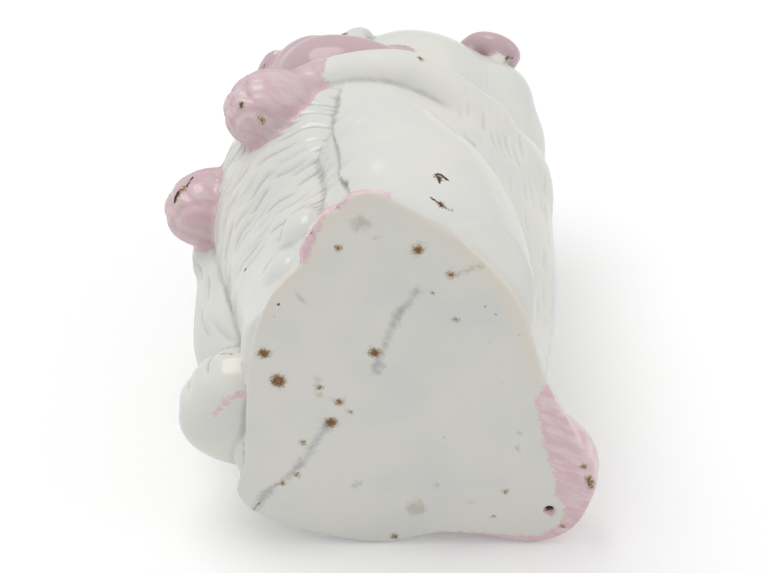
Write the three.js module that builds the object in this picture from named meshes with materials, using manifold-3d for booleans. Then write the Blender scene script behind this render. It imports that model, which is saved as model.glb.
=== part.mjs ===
// A glazed porcelain pug ornament, sitting up to beg on a flat base.
// Its body, head, ears, legs, feet and tail are moulded one by one and luted together with
// slip before the firing, so each of them is a solid of its own here, with a thin slip joint
// between neighbours.
// Millimetres, +Z up. The pug faces -Y and its left side is +X. The origin lies on the base
// plane, in the middle of the footprint.
import * as THREE from 'three';
import { mergeVertices } from 'three/addons/utils/BufferGeometryUtils.js';
import Module from 'manifold-3d';

const wasm = await Module();
wasm.setup();

// Fits
const SEAM = 0.3;
const SHELL_WALL = 4.5;
const NECK_BORE = 14;
const VENT_DIAMETER = 1.6;
const VENT_X = -9.9;
const VENT_Y = 27.4;
const VENT_TOP = 10;

// Body, as widths and depths of level sections; its back is straight and plumb
const BACK_Y = 19.5;
const RUMP_TUCK = 2;
const HIP_TURN = 18;
const HIP_SHIFT = 1.5;
const HIP_WIDTH = 41;
const HIP_DEPTH = 49;
const BELLY_WIDTH = 47;
const BELLY_DEPTH = 52;
const BELLY_Z = 26;
const CHEST_WIDTH = 45;
const CHEST_DEPTH = 55;
const CHEST_Z = 44;
const NECK_WIDTH = 32;
const NECK_DEPTH = 41;
const NECK_Z = 60;
const NECK_TOP = 6;
const NAPE_LEAN = 1.5;
const BODY_POWER = 2.4;
const SOFT_BOX = 2.3;

// The flat plate of clay that everything is luted down on: its outline on the base plane, and
// how far its sides draw in towards its top
const BASE_OUTLINE = [
  [33.4, -26.5], [29.5, -31.2], [21.5, -33], [15.7, -31.4], [7.3, -32], [-1.5, -30], [-11.8, -25.8],
  [-24.5, -19.6], [-30.5, -17.8], [-33.2, -12.5], [-33, -5.1], [-31.1, 3], [-28.3, 9], [-23, 14.4],
  [-20, 21], [-17, 29.2], [-11.4, 32.9], [-2.8, 31.6], [2.1, 27.9], [7.7, 20.5], [13.4, 13], [20, 6.8],
  [24.4, 2], [27.9, -4], [31.4, -13.5],
];
const PLATE_THICKNESS = 2.2;
const PLATE_TAPER = 0.985;

// The roll of skin at the nape
const NAPE_ROLL = { at: [2, 8, 50], size: [36, 21.4, 28] };

// Head
const SKULL_WIDTH = 38.5;
const SKULL_LENGTH = 35;
const SKULL_HEIGHT = 32.4;
const SKULL_Y = -3.5;
const SKULL_Z = 67.2;
const SKULL_POWER = 2.1;
const SCRUFF_WIDTH = 35;
const SCRUFF_DEPTH = 26;
const SCRUFF_HEIGHT = 32;
const SCRUFF_Z = 63;
const OCCIPUT_WIDTH = 38;
const OCCIPUT_DEPTH = 20;
const OCCIPUT_HEIGHT = 22;
const OCCIPUT_Y = 6;
const OCCIPUT_Z = 69;
const MUZZLE_WIDTH = 22.5;
const MUZZLE_LENGTH = 17;
const MUZZLE_HEIGHT = 15;
const MUZZLE_FRONT_Y = -31;
const MUZZLE_Z = 66;
const MUZZLE_POWER = 2.5;
const CHIN_WIDTH = 11;
const CHIN_LENGTH = 10;
const CHIN_HEIGHT = 6;
const CHIN_DROP = 8.5;
const CHIN_SET_BACK = 6;
const NOSE_WIDTH = 7.2;
const NOSE_HEIGHT = 4.6;
const NOSE_Z = 69.8;
const EYE_DIAMETER = 7.8;
const EYE_X = 7.6;
const EYE_Y = -18.8;
const EYE_Z = 70.8;
const BROW_WIDTH = 10.5;
const BROW_DEPTH = 6;
const BROW_HEIGHT = 4;
const BROW_LIFT = 4;
const BROW_SLANT = 12;

// The lip that hangs beside the muzzle and runs back into the cheek, front to back
const FLEW = [
  { at: [4.5, -25.2, 62.6], wide: 12, deep: 12.5 },
  { at: [8.4, -24, 62.6], wide: 12, deep: 12 },
  { at: [12.6, -19.6, 62.4], wide: 9, deep: 9.5 },
  { at: [16, -13, 62], wide: 5, deep: 6 },
];
const FLEW_DOMES = [4, 3];

// The fold of skin over the nose, from its middle out to one side
const NOSE_FOLD = [
  { at: [0, -23, 74.6], wide: 6, deep: 5 },
  { at: [5.2, -22.4, 73], wide: 6, deep: 5 },
  { at: [8.6, -21, 68.6], wide: 5, deep: 5 },
];
const NOSE_FOLD_DOME = 1.5;

// One ear, folded over from its root down to its tip
const EAR = [
  { at: [7.5, 5, 80.2], wide: 10, deep: 5 },
  { at: [12.5, 5, 80.6], wide: 11, deep: 5 },
  { at: [16.4, 4.8, 78.6], wide: 10, deep: 4.6 },
  { at: [18.4, 4.4, 75.4], wide: 7, deep: 3.8 },
  { at: [18.9, 4, 73], wide: 3.5, deep: 2.8 },
];
const EAR_ROOT_DOME = 2;
const EAR_TIP_DOME = 1;

// Forelegs, held up before the chest
const SHOULDER_X = 16;
const SHOULDER_Y = -1;
const SHOULDER_Z = 50;
const SHOULDER_WIDTH = 16;
const ELBOW_X = 20;
const ELBOW_Y = -15;
const ELBOW_Z = 52;
const ELBOW_WIDTH = 9.5;
const WRIST_X = 16;
const WRIST_Y = -28;
const WRIST_Z = 48;
const WRIST_WIDTH = 7;
const PAW_X = { left: 10.2, right: 12 };
const PAW_Y = { left: -34.3, right: -33.7 };
const PAW_Z = { left: 43, right: 42.6 };
const PAW_WIDTH = 14;
const PAW_LENGTH = 17;
const PAW_HEIGHT = 12.5;
const PAW_DROOP = 35;
const TOE_WIDTH = 5;
const TOE_CURL = 15;
const TOE_COUNT = 4;
const TOE_PITCH = 0.65;
const TOE_STEP = 0.7;
const TOE_LENGTH = 1.5;

// Haunches, folded beside the belly; the hips are turned, so the left one lies further forward
// and the right leg is a little raised
const HAUNCH_X = { left: 20, right: 18.5 };
const KNEE_X = { left: 20, right: 16.3 };
const HAUNCH_WIDTH = 26;
const HAUNCH_LENGTH = { left: 34, right: 37 };
const HAUNCH_HEIGHT = { left: 36.5, right: 52 };
const HAUNCH_SPLAY = 16;
const HAUNCH_TAPER = 0.96;
const SOLE_SHARE = { left: 0, right: -0.1 };
const LOIN_LEVEL = 0.28;
const LOIN_SHARE = { left: 0.15, right: 0.36 };
const THIGH_LEVEL = 0.58;
const THIGH_SHARE = { left: 0.5, right: 0.68 };
const KNEE_LEVEL = 0.8;
const HAUNCH_Y = { left: -9.5, right: -1 };
const KNEE_LENGTH = 24;
const KNEE_WIDTH = 20;
const KNEE_FRONT_Y = { left: -31, right: -34 };

// Hind feet; the right one is lifted clear of the base
const FOOT_X = { left: 21.5, right: 20.5 };
const FOOT_FRONT_Y = { left: -32.5, right: -32 };
const FOOT_RISE = { left: 0, right: 8.5 };
const FOOT_WIDTH = { left: 24, right: 20 };
const FOOT_LENGTH = 19;
const FOOT_HEIGHT = 14;
const FOOT_TOE_WIDTH = 6;

// The two inner toes of the left hind foot, curled up against the belly
const INNER_TOES = [
  { at: [11.8, -30.4, 4.6], size: [7.5, 6.5, 6.2] },
  { at: [15.8, -30.6, 7.4], size: [8, 6, 6.5] },
];

// Tail, one loose curl lying on the base plane behind the right hip, its tip turned up
const TAIL_X = -7.6;
const TAIL_Y = 20.5;
const TAIL_CURL = 26.5;
const TAIL_THICKNESS = 11;
const TAIL_TIP_THICKNESS = 7;
const TAIL_RISE = 9;
const TAIL_LIFT = 3.3;
const TAIL_FILL = 0.92;
const TAIL_FILL_HEIGHT = 7;
const TAIL_START_TURN = -0.1;
const TAIL_END_TURN = 1.35;
const TAIL_TIGHTENING = 0.25;

// How far skins that stand on the base reach below it before they are cut off flat
const BELOW_BASE = 3;
const SOLE_DOME = 2;
const CUT_BLOCK = 300;
const CRUMB = 0.02;

// Facets round a section and along a skin
const SIDES = 26;
const RINGS = 12;
const BORE_SIDES = 24;

const WHITE = { color: 0xd9d9d2, roughness: 0.15, metalness: 0 };
const PINK = { color: 0xd7a3b0, roughness: 0.18, metalness: 0 };

const sides = { left: 1, right: -1 };

// Solids from geometry

function toSolid(geometry) {
  const bare = geometry.index ? geometry.clone() : geometry;
  bare.deleteAttribute('normal');
  bare.deleteAttribute('uv');
  const merged = mergeVertices(bare, 1e-4);
  const mesh = new wasm.Mesh({
    numProp: 3,
    vertProperties: new Float32Array(merged.attributes.position.array),
    triVerts: new Uint32Array(merged.index.array),
  });
  return new wasm.Manifold(mesh);
}

function toGeometry(solid) {
  const mesh = solid.getMesh();
  const geometry = new THREE.BufferGeometry();
  geometry.setAttribute('position', new THREE.BufferAttribute(new Float32Array(mesh.vertProperties), 3));
  geometry.setIndex(new THREE.BufferAttribute(new Uint32Array(mesh.triVerts), 1));
  geometry.computeVertexNormals();
  return geometry;
}

function join(solids) {
  return wasm.Manifold.union(solids);
}

// The largest body of a cut solid, without the crumbs a cut can leave beside it
function mainBody(solid) {
  const bodies = solid.simplify(CRUMB).decompose();
  bodies.sort((a, b) => b.volume() - a.volume());
  return bodies[0];
}

// A moulded lump: an ellipsoid whose faces flatten towards a box as power rises above 2
function lump({ at, size, power = 2, tilt = 0, yaw = 0, roll = 0, around = 20, grow = 0 }) {
  const geometry = new THREE.SphereGeometry(1, around, Math.round(around * 0.6));
  const points = geometry.attributes.position;
  const point = new THREE.Vector3();
  for (let i = 0; i < points.count; i += 1) {
    point.fromBufferAttribute(points, i);
    const sum = Math.abs(point.x) ** power + Math.abs(point.y) ** power + Math.abs(point.z) ** power;
    point.multiplyScalar(sum ** (-1 / power));
    points.setXYZ(i, point.x, point.y, point.z);
  }
  geometry.scale(size[0] / 2 + grow, size[1] / 2 + grow, size[2] / 2 + grow);
  const turn = new THREE.Euler(
    THREE.MathUtils.degToRad(tilt),
    THREE.MathUtils.degToRad(roll),
    THREE.MathUtils.degToRad(yaw),
    'ZXY',
  );
  geometry.applyMatrix4(new THREE.Matrix4().makeRotationFromEuler(turn));
  geometry.translate(at[0], at[1], at[2]);
  return toSolid(geometry);
}

// A skin drawn over elliptical stations along a smooth path, with a dome at each end
// Each station is { at: [x, y, z], wide, deep, turn }: wide lies across, deep square to it, and
// turn swings both about the path, in degrees
function skin(stations, { domes, across = [1, 0, 0], around = SIDES, rings = RINGS, power = 2, grow = 0 }) {
  const path = new THREE.CatmullRomCurve3(stations.map((s) => new THREE.Vector3(...s.at)));
  const sizes = new THREE.CatmullRomCurve3(
    stations.map((s) => new THREE.Vector3(s.wide / 2 + grow, s.deep / 2 + grow, s.turn || 0)),
  );
  const domeRings = 3;
  const sections = [];
  for (let i = -domeRings; i <= rings + domeRings; i += 1) {
    const t = Math.min(Math.max(i / rings, 0), 1);
    const beyond = Math.max(-i, i - rings, 0) / (domeRings + 1);
    const along = path.getTangent(t).normalize();
    const wideways = new THREE.Vector3(...across);
    wideways.addScaledVector(along, -along.dot(wideways)).normalize();
    const size = sizes.getPoint(t);
    wideways.applyAxisAngle(along, THREE.MathUtils.degToRad(size.z));
    const deepways = new THREE.Vector3().crossVectors(along, wideways);
    const angle = (beyond * Math.PI) / 2;
    const reach = ((i < 0 ? domes[0] : domes[1]) + grow) * Math.sin(angle) * Math.sign(i);
    sections.push({
      centre: path.getPoint(t).addScaledVector(along, i < 0 || i > rings ? reach : 0),
      u: wideways.multiplyScalar(size.x * Math.cos(angle)),
      v: deepways.multiplyScalar(size.y * Math.cos(angle)),
    });
  }
  const startPole = path.getPoint(0).addScaledVector(path.getTangent(0).normalize(), -domes[0] - grow);
  const endPole = path.getPoint(1).addScaledVector(path.getTangent(1).normalize(), domes[1] + grow);
  const positions = [...startPole.toArray(), ...endPole.toArray()];
  for (const section of sections) {
    for (let k = 0; k < around; k += 1) {
      const turn = (k / around) * 2 * Math.PI;
      const swell = (Math.abs(Math.cos(turn)) ** power + Math.abs(Math.sin(turn)) ** power) ** (-1 / power);
      const point = section.centre.clone();
      point.addScaledVector(section.u, swell * Math.cos(turn));
      point.addScaledVector(section.v, swell * Math.sin(turn));
      positions.push(...point.toArray());
    }
  }
  const index = [];
  const vertex = (ring, k) => 2 + ring * around + (k % around);
  const last = sections.length - 1;
  for (let k = 0; k < around; k += 1) {
    index.push(0, vertex(0, k + 1), vertex(0, k));
    index.push(1, vertex(last, k), vertex(last, k + 1));
    for (let ring = 0; ring < last; ring += 1) {
      index.push(vertex(ring, k), vertex(ring, k + 1), vertex(ring + 1, k));
      index.push(vertex(ring, k + 1), vertex(ring + 1, k + 1), vertex(ring + 1, k));
    }
  }
  const geometry = new THREE.BufferGeometry();
  geometry.setAttribute('position', new THREE.Float32BufferAttribute(positions, 3));
  geometry.setIndex(index);
  return toSolid(geometry);
}

// What lies above a level, cut off flat
function above(solid, level) {
  const block = new THREE.BoxGeometry(CUT_BLOCK, CUT_BLOCK, CUT_BLOCK);
  block.translate(0, 0, level - CUT_BLOCK / 2);
  return solid.subtract(toSolid(block));
}

// What stands on the plate, cut off flat a slip joint above it
function onPlate(solid) {
  return above(solid, PLATE_THICKNESS + SEAM);
}

// Pieces

function bodySkin(grow) {
  const level = (z, x, wide, deep, back, turn) => ({ at: [x, back - deep / 2, z], wide, deep, turn });
  return skin(
    [
      level(-BELOW_BASE, HIP_SHIFT, HIP_WIDTH, HIP_DEPTH, BACK_Y - RUMP_TUCK, HIP_TURN),
      level(BELLY_Z / 3, HIP_SHIFT, HIP_WIDTH, HIP_DEPTH, BACK_Y - RUMP_TUCK, HIP_TURN),
      level(BELLY_Z, 0, BELLY_WIDTH, BELLY_DEPTH, BACK_Y, HIP_TURN / 2),
      level(CHEST_Z, 0, CHEST_WIDTH, CHEST_DEPTH, BACK_Y, 0),
      level(NECK_Z, 0, NECK_WIDTH, NECK_DEPTH, BACK_Y - NAPE_LEAN, 0),
    ],
    { domes: [SOLE_DOME, NECK_TOP], rings: 16, power: BODY_POWER, grow },
  );
}

function bodyForm(grow) {
  return join([
    bodySkin(grow),
    lump({ ...NAPE_ROLL, power: SOFT_BOX, around: 22, grow }),
  ]);
}

function plateForm() {
  const line = new THREE.CatmullRomCurve3(BASE_OUTLINE.map(([x, y]) => new THREE.Vector3(x, y, 0)), true);
  const around = BASE_OUTLINE.length * 3;
  const outline = line.getPoints(around).slice(0, around);
  const positions = [0, 0, 0, 0, 0, PLATE_THICKNESS];
  for (const point of outline) positions.push(point.x, point.y, 0);
  for (const point of outline) positions.push(point.x * PLATE_TAPER, point.y * PLATE_TAPER, PLATE_THICKNESS);
  const index = [];
  for (let k = 0; k < around; k += 1) {
    const low = 2 + k;
    const lowNext = 2 + ((k + 1) % around);
    index.push(0, low, lowNext);
    index.push(1, lowNext + around, low + around);
    index.push(low, low + around, lowNext);
    index.push(lowNext, low + around, lowNext + around);
  }
  const geometry = new THREE.BufferGeometry();
  geometry.setAttribute('position', new THREE.Float32BufferAttribute(positions, 3));
  geometry.setIndex(index);
  return toSolid(geometry);
}

// The cast body is a shell, open at the neck into the hollow of the head
function makeBody() {
  const outside = join([above(bodyForm(0), 0), plateForm()]);
  const hollow = above(bodySkin(-SHELL_WALL), SHELL_WALL);
  const neckTop = NECK_Z + 2 * NECK_TOP;
  const neckBore = drill(
    new THREE.Vector3(0, BACK_Y - NAPE_LEAN - NECK_DEPTH / 2, CHEST_Z),
    new THREE.Vector3(0, BACK_Y - NAPE_LEAN - NECK_DEPTH / 2, neckTop),
    NECK_BORE,
    BORE_SIDES,
  );
  return mainBody(outside.subtract(hollow).subtract(neckBore).subtract(ventDrill()));
}

function drill(from, to, diameter, around) {
  const reach = to.clone().sub(from);
  const rod = new THREE.CylinderGeometry(diameter / 2, diameter / 2, reach.length(), around);
  const upright = new THREE.Vector3(0, 1, 0);
  rod.applyQuaternion(new THREE.Quaternion().setFromUnitVectors(upright, reach.normalize()));
  const middle = from.clone().add(to).divideScalar(2);
  rod.translate(middle.x, middle.y, middle.z);
  return toSolid(rod);
}

// The vent is pricked up through the root of the tail into the hollow of the body
function ventDrill() {
  const mouth = new THREE.Vector3(VENT_X, VENT_Y, -1);
  const inside = new THREE.Vector3(VENT_X / 3, VENT_Y / 3, VENT_TOP);
  return drill(mouth, inside, VENT_DIAMETER, 12);
}

// The same stations on the pug's left or right side
function mirrored(stations, side) {
  return stations.map(({ at: [x, y, z], wide, deep }) => ({ at: [side * x, y, z], wide, deep }));
}

function headForm(grow) {
  const otherHalf = mirrored(NOSE_FOLD.slice(1), sides.right).reverse();
  const parts = [
    lump({
      at: [0, SKULL_Y, SKULL_Z],
      size: [SKULL_WIDTH, SKULL_LENGTH, SKULL_HEIGHT],
      power: SKULL_POWER,
      around: 26,
      grow,
    }),
    lump({
      at: [0, BACK_Y - SCRUFF_DEPTH / 2, SCRUFF_Z],
      size: [SCRUFF_WIDTH, SCRUFF_DEPTH, SCRUFF_HEIGHT],
      power: SOFT_BOX,
      around: 22,
      grow,
    }),
    lump({
      at: [0, OCCIPUT_Y, OCCIPUT_Z],
      size: [OCCIPUT_WIDTH, OCCIPUT_DEPTH, OCCIPUT_HEIGHT],
      power: SOFT_BOX,
      around: 22,
      grow,
    }),
    lump({
      at: [0, MUZZLE_FRONT_Y + MUZZLE_LENGTH / 2, MUZZLE_Z],
      size: [MUZZLE_WIDTH, MUZZLE_LENGTH, MUZZLE_HEIGHT],
      power: MUZZLE_POWER,
      around: 20,
      grow,
    }),
    lump({
      at: [0, MUZZLE_FRONT_Y + CHIN_SET_BACK, MUZZLE_Z - CHIN_DROP],
      size: [CHIN_WIDTH, CHIN_LENGTH, CHIN_HEIGHT],
      around: 14,
      grow,
    }),
    lump({
      at: [0, MUZZLE_FRONT_Y + NOSE_HEIGHT / 3, NOSE_Z],
      size: [NOSE_WIDTH, NOSE_HEIGHT, NOSE_HEIGHT],
      around: 12,
      grow,
    }),
    skin([...otherHalf, ...NOSE_FOLD], {
      domes: [NOSE_FOLD_DOME, NOSE_FOLD_DOME],
      across: [0, 1, 0],
      around: 10,
      rings: 10,
      grow,
    }),
  ];
  for (const side of Object.values(sides)) {
    parts.push(skin(mirrored(FLEW, side), { domes: FLEW_DOMES, around: 14, rings: 6, grow }));
    parts.push(lump({
      at: [side * EYE_X, EYE_Y, EYE_Z],
      size: [EYE_DIAMETER, EYE_DIAMETER, EYE_DIAMETER],
      around: 14,
      grow,
    }));
    parts.push(lump({
      at: [side * EYE_X, EYE_Y, EYE_Z + BROW_LIFT],
      size: [BROW_WIDTH, BROW_DEPTH, BROW_HEIGHT],
      roll: side * BROW_SLANT,
      around: 14,
      grow,
    }));
  }
  return join(parts);
}

// The head is a cast shell too, set down over the open neck
function makeHead() {
  const hollow = lump({
    at: [0, SKULL_Y, SKULL_Z],
    size: [SKULL_WIDTH, SKULL_LENGTH, SKULL_HEIGHT],
    power: SKULL_POWER,
    around: 20,
    grow: -SHELL_WALL,
  });
  return mainBody(headForm(0).subtract(bodyForm(SEAM)).subtract(hollow));
}

function makeEar(side) {
  const flap = skin(mirrored(EAR, side), {
    domes: [EAR_ROOT_DOME, EAR_TIP_DOME],
    across: [0, 1, 0],
    around: 16,
    rings: 10,
  });
  return mainBody(flap.subtract(headForm(SEAM)).subtract(bodyForm(SEAM)));
}

function forelegForm(side, grow) {
  const name = side > 0 ? 'left' : 'right';
  const tip = [side * PAW_X[name], PAW_Y[name], PAW_Z[name]];
  const limb = skin(
    [
      { at: [side * SHOULDER_X, SHOULDER_Y, SHOULDER_Z], wide: SHOULDER_WIDTH, deep: SHOULDER_WIDTH },
      { at: [side * ELBOW_X, ELBOW_Y, ELBOW_Z], wide: ELBOW_WIDTH, deep: ELBOW_WIDTH },
      { at: [side * WRIST_X, WRIST_Y, WRIST_Z], wide: WRIST_WIDTH, deep: WRIST_WIDTH },
      { at: tip, wide: WRIST_WIDTH, deep: WRIST_WIDTH },
    ],
    { domes: [SHOULDER_WIDTH / 2, WRIST_WIDTH / 2], around: 16, rings: 10, grow },
  );
  const paw = lump({
    at: tip,
    size: [PAW_WIDTH, PAW_LENGTH, PAW_HEIGHT],
    tilt: PAW_DROOP,
    around: 18,
    grow,
  });
  return join([limb, paw, ...pawToes(tip, grow)]);
}

function pawToes([x, y, z], grow) {
  const list = [];
  for (let k = 0; k < TOE_COUNT; k += 1) {
    const place = k - (TOE_COUNT - 1) / 2;
    list.push(lump({
      at: [
        x + place * TOE_WIDTH * TOE_PITCH,
        y - PAW_LENGTH / 4 + TOE_STEP * place ** 2,
        z - PAW_HEIGHT / 5 + TOE_STEP * place ** 2,
      ],
      size: [TOE_WIDTH, TOE_WIDTH * TOE_LENGTH, TOE_WIDTH],
      tilt: PAW_DROOP + TOE_CURL,
      around: 10,
      grow,
    }));
  }
  return list;
}

function haunchForm(side, grow) {
  const name = side > 0 ? 'left' : 'right';
  const height = HAUNCH_HEIGHT[name];
  const length = HAUNCH_LENGTH[name];
  const kneeY = KNEE_FRONT_Y[name] + KNEE_LENGTH / 2;
  const level = (z, share, wide, deep) => ({
    at: [
      side * THREE.MathUtils.lerp(HAUNCH_X[name], KNEE_X[name], share),
      THREE.MathUtils.lerp(HAUNCH_Y[name], kneeY, share),
      z,
    ],
    wide,
    deep,
    turn: side * HAUNCH_SPLAY,
  });
  return skin(
    [
      level(-BELOW_BASE, SOLE_SHARE[name], HAUNCH_WIDTH * HAUNCH_TAPER, length * HAUNCH_TAPER),
      level(height * LOIN_LEVEL, LOIN_SHARE[name], HAUNCH_WIDTH, length),
      level(height * THIGH_LEVEL, THIGH_SHARE[name], HAUNCH_WIDTH * HAUNCH_TAPER, length * HAUNCH_TAPER),
      level(height * KNEE_LEVEL, 1, KNEE_WIDTH, KNEE_LENGTH),
    ],
    { domes: [SOLE_DOME, height * (1 - KNEE_LEVEL)], grow },
  );
}

function makeHaunch(side) {
  return mainBody(onPlate(haunchForm(side, 0)).subtract(bodyForm(SEAM)));
}

function makeForeleg(side) {
  return mainBody(forelegForm(side, 0)
    .subtract(bodyForm(SEAM))
    .subtract(headForm(SEAM))
    .subtract(haunchForm(side, SEAM)));
}

function hindFootForm(side) {
  const name = side > 0 ? 'left' : 'right';
  const front = FOOT_FRONT_Y[name];
  const x = side * FOOT_X[name];
  const rise = FOOT_RISE[name];
  const parts = [lump({
    at: [x, front + FOOT_LENGTH / 2, rise],
    size: [FOOT_WIDTH[name], FOOT_LENGTH, FOOT_HEIGHT],
    power: SOFT_BOX,
    around: 22,
  })];
  if (side === sides.left) parts.push(...INNER_TOES.map((toe) => lump({ ...toe, around: 18 })));
  for (let k = 0; k < TOE_COUNT; k += 1) {
    const place = k - (TOE_COUNT - 1) / 2;
    parts.push(lump({
      at: [
        x + place * FOOT_TOE_WIDTH * TOE_PITCH,
        front + (FOOT_TOE_WIDTH * TOE_LENGTH) / 2 + Math.abs(place),
        rise + FOOT_TOE_WIDTH / 4,
      ],
      size: [FOOT_TOE_WIDTH, FOOT_TOE_WIDTH * TOE_LENGTH, FOOT_TOE_WIDTH],
      around: 12,
    }));
  }
  return join(parts);
}

function makeHindFoot(side) {
  return mainBody(onPlate(hindFootForm(side))
    .subtract(haunchForm(side, SEAM))
    .subtract(bodyForm(SEAM)));
}

// The tail leaves the rump on the left, swings round behind it along the ground and turns its
// tip up; the inside of the curl is filled flush with the base
function tailForm() {
  const stations = [];
  const steps = 7;
  for (let i = 0; i <= steps; i += 1) {
    const share = i / steps;
    const turn = Math.PI * THREE.MathUtils.lerp(TAIL_START_TURN, TAIL_END_TURN, share);
    const reach = ((TAIL_CURL - TAIL_THICKNESS) / 2) * (1 - TAIL_TIGHTENING * share ** 2);
    const thick = THREE.MathUtils.lerp(TAIL_THICKNESS, TAIL_TIP_THICKNESS, share ** 2);
    stations.push({
      at: [
        TAIL_X + reach * Math.cos(turn),
        TAIL_Y + reach * Math.sin(turn),
        TAIL_LIFT + TAIL_RISE * share ** 3,
      ],
      wide: thick,
      deep: thick,
    });
  }
  const curl = skin(stations, { domes: [3, 3], across: [0, 0, 1], around: 16, rings: 16 });
  const pad = lump({
    at: [TAIL_X, TAIL_Y, 0],
    size: [TAIL_CURL * TAIL_FILL, TAIL_CURL * TAIL_FILL, 2 * TAIL_FILL_HEIGHT],
    around: 18,
  });
  return join([pad, curl]);
}

function makeTail() {
  return mainBody(onPlate(tailForm())
    .subtract(bodyForm(SEAM))
    .subtract(haunchForm(sides.right, SEAM))
    .subtract(haunchForm(sides.left, SEAM))
    .subtract(ventDrill()));
}

const group = new THREE.Group();

function add(name, solid, look) {
  const mesh = new THREE.Mesh(toGeometry(solid), new THREE.MeshStandardMaterial(look));
  mesh.name = name;
  group.add(mesh);
}

add('body', makeBody(), WHITE);
add('head', makeHead(), WHITE);
for (const [name, side] of Object.entries(sides)) {
  add(`${name}_ear`, makeEar(side), PINK);
  add(`${name}_foreleg`, makeForeleg(side), WHITE);
  add(`${name}_haunch`, makeHaunch(side), WHITE);
  add(`${name}_hind_foot`, makeHindFoot(side), WHITE);
}
add('tail', makeTail(), PINK);

export default group;
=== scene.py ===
import math

import bpy
import numpy as np
from mathutils import Matrix, Vector
from mathutils.kdtree import KDTree


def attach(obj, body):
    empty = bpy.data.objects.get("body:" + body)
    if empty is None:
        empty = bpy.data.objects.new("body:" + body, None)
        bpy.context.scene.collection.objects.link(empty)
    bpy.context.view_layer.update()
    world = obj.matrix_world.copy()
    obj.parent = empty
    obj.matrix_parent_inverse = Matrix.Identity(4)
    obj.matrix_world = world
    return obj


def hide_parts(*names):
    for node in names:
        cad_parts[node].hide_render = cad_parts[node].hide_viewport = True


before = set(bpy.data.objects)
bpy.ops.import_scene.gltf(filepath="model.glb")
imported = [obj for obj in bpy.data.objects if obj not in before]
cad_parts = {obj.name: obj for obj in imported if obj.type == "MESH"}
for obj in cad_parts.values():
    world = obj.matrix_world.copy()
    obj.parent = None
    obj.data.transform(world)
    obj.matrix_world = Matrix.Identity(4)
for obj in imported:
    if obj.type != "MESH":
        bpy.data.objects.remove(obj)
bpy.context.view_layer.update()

bpy.ops.object.select_all(action="DESELECT")

# Forms are modelled in millimetres and scaled to metres once, when a piece is finished
MM = 0.001

SKIN_GRAIN = 0.41

# Body, as widths and depths of level sections
BACK_Y = 19.5
RUMP_TUCK = 2
HIP = (41, 49)
BELLY = (47, 52)
CHEST = (45, 55)
NECK = (32, 41)
HIP_TURN = 18
HIP_SHIFT = 1.5
BELLY_Z = 26
CHEST_Z = 44
NECK_Z = 60
NAPE_LEAN = 1.5
BODY_POWER = 2.4
BODY_AXIS_Y = -7

# Shoulders, swept up into the nape
SHOULDERS_AT = (0, 5.4, 46)
SHOULDERS_SIZE = (43, 27, 30)

# Head
SKULL_AT = (0, -3.5, 67.2)
SKULL_SIZE = (38.5, 35, 32.4)
OCCIPUT_AT = (0, 6, 69)
OCCIPUT_SIZE = (38, 20, 22)
SCRUFF_Z = 63
SCRUFF_SIZE = (35, 26, 32)
MUZZLE_FRONT_Y = -31
MUZZLE_Z = 66
MUZZLE_SIZE = (22.5, 17, 15)
NOSE_Z = 69.8
EYE_X = 8.3
EYE_Y = -19
EYE_Z = 70.7
EYE_SIZE = 7.8

# Forelegs; what differs from side to side is keyed by side: 1 is the left, -1 the right
SIDES = {"left": 1, "right": -1}
SHOULDER = (16, -1, 50)
SHOULDER_WIDTH = 16
ELBOW = (20, -15, 52)
ELBOW_WIDTH = 9.5
WRIST = (16, -28, 48)
WRIST_WIDTH = 7
PAW = {1: (10.2, -34.3, 43), -1: (-12, -33.7, 42.6)}
PAW_SIZE = (14, 17, 12.5)
PAW_DROOP = 35
TOE_COUNT = 4

# Haunches and hind feet
HAUNCH_X = {1: 20, -1: 18.5}
KNEE_X = {1: 20, -1: 16.3}
HAUNCH_WIDTH = 26
HAUNCH_LENGTH = {1: 34, -1: 37}
HAUNCH_HEIGHT = {1: 36.5, -1: 52}
HAUNCH_SPLAY = 16
HAUNCH_Y = {1: -9.5, -1: -1}
SOLE_SHARE = {1: 0, -1: -0.1}
LOIN_SHARE = {1: 0.15, -1: 0.36}
THIGH_SHARE = {1: 0.5, -1: 0.68}
KNEE_LENGTH = 24
KNEE_WIDTH = 20
KNEE_FRONT_Y = {1: -31, -1: -34}
FOOT_X = {1: 21.5, -1: 20.5}
FOOT_FRONT_Y = {1: -32.5, -1: -32}
FOOT_RISE = {1: 0, -1: 8.5}
FOOT_SIZE = {1: (24, 19, 14), -1: (20, 19, 14)}
FOOT_POWER = 2.3

# The right foot's outer toe, as stations drawn up against the belly
HUGGED_TOE = [((-18, -30.5, 9), 3.2, 3.2), ((-15, -29.2, 8.6), 3.8, 3.4), ((-12.2, -26.7, 8.6), 3.2, 3.2)]

# Two toes of the left foot that lie over the belly, each as place and size
INNER_TOES = [((6.2, -29.2, 8.6), (9.5, 5.4, 7.4)), ((10.4, -28.4, 14.8), (9, 5.6, 7.6))]

# Tail; its sweep is in half turns
TAIL_X = -7.6
TAIL_Y = 20.5
TAIL_CURL = 26.5
TAIL_START = -0.1
TAIL_SWEEP = 1.45
TAIL_STATIONS = 10
TAIL_THICKNESS = 11
TAIL_TIP = 7
TAIL_RISE = 9
VENT = (-9.9, 27.4)
VENT_DIAMETER = 1.6

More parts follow.
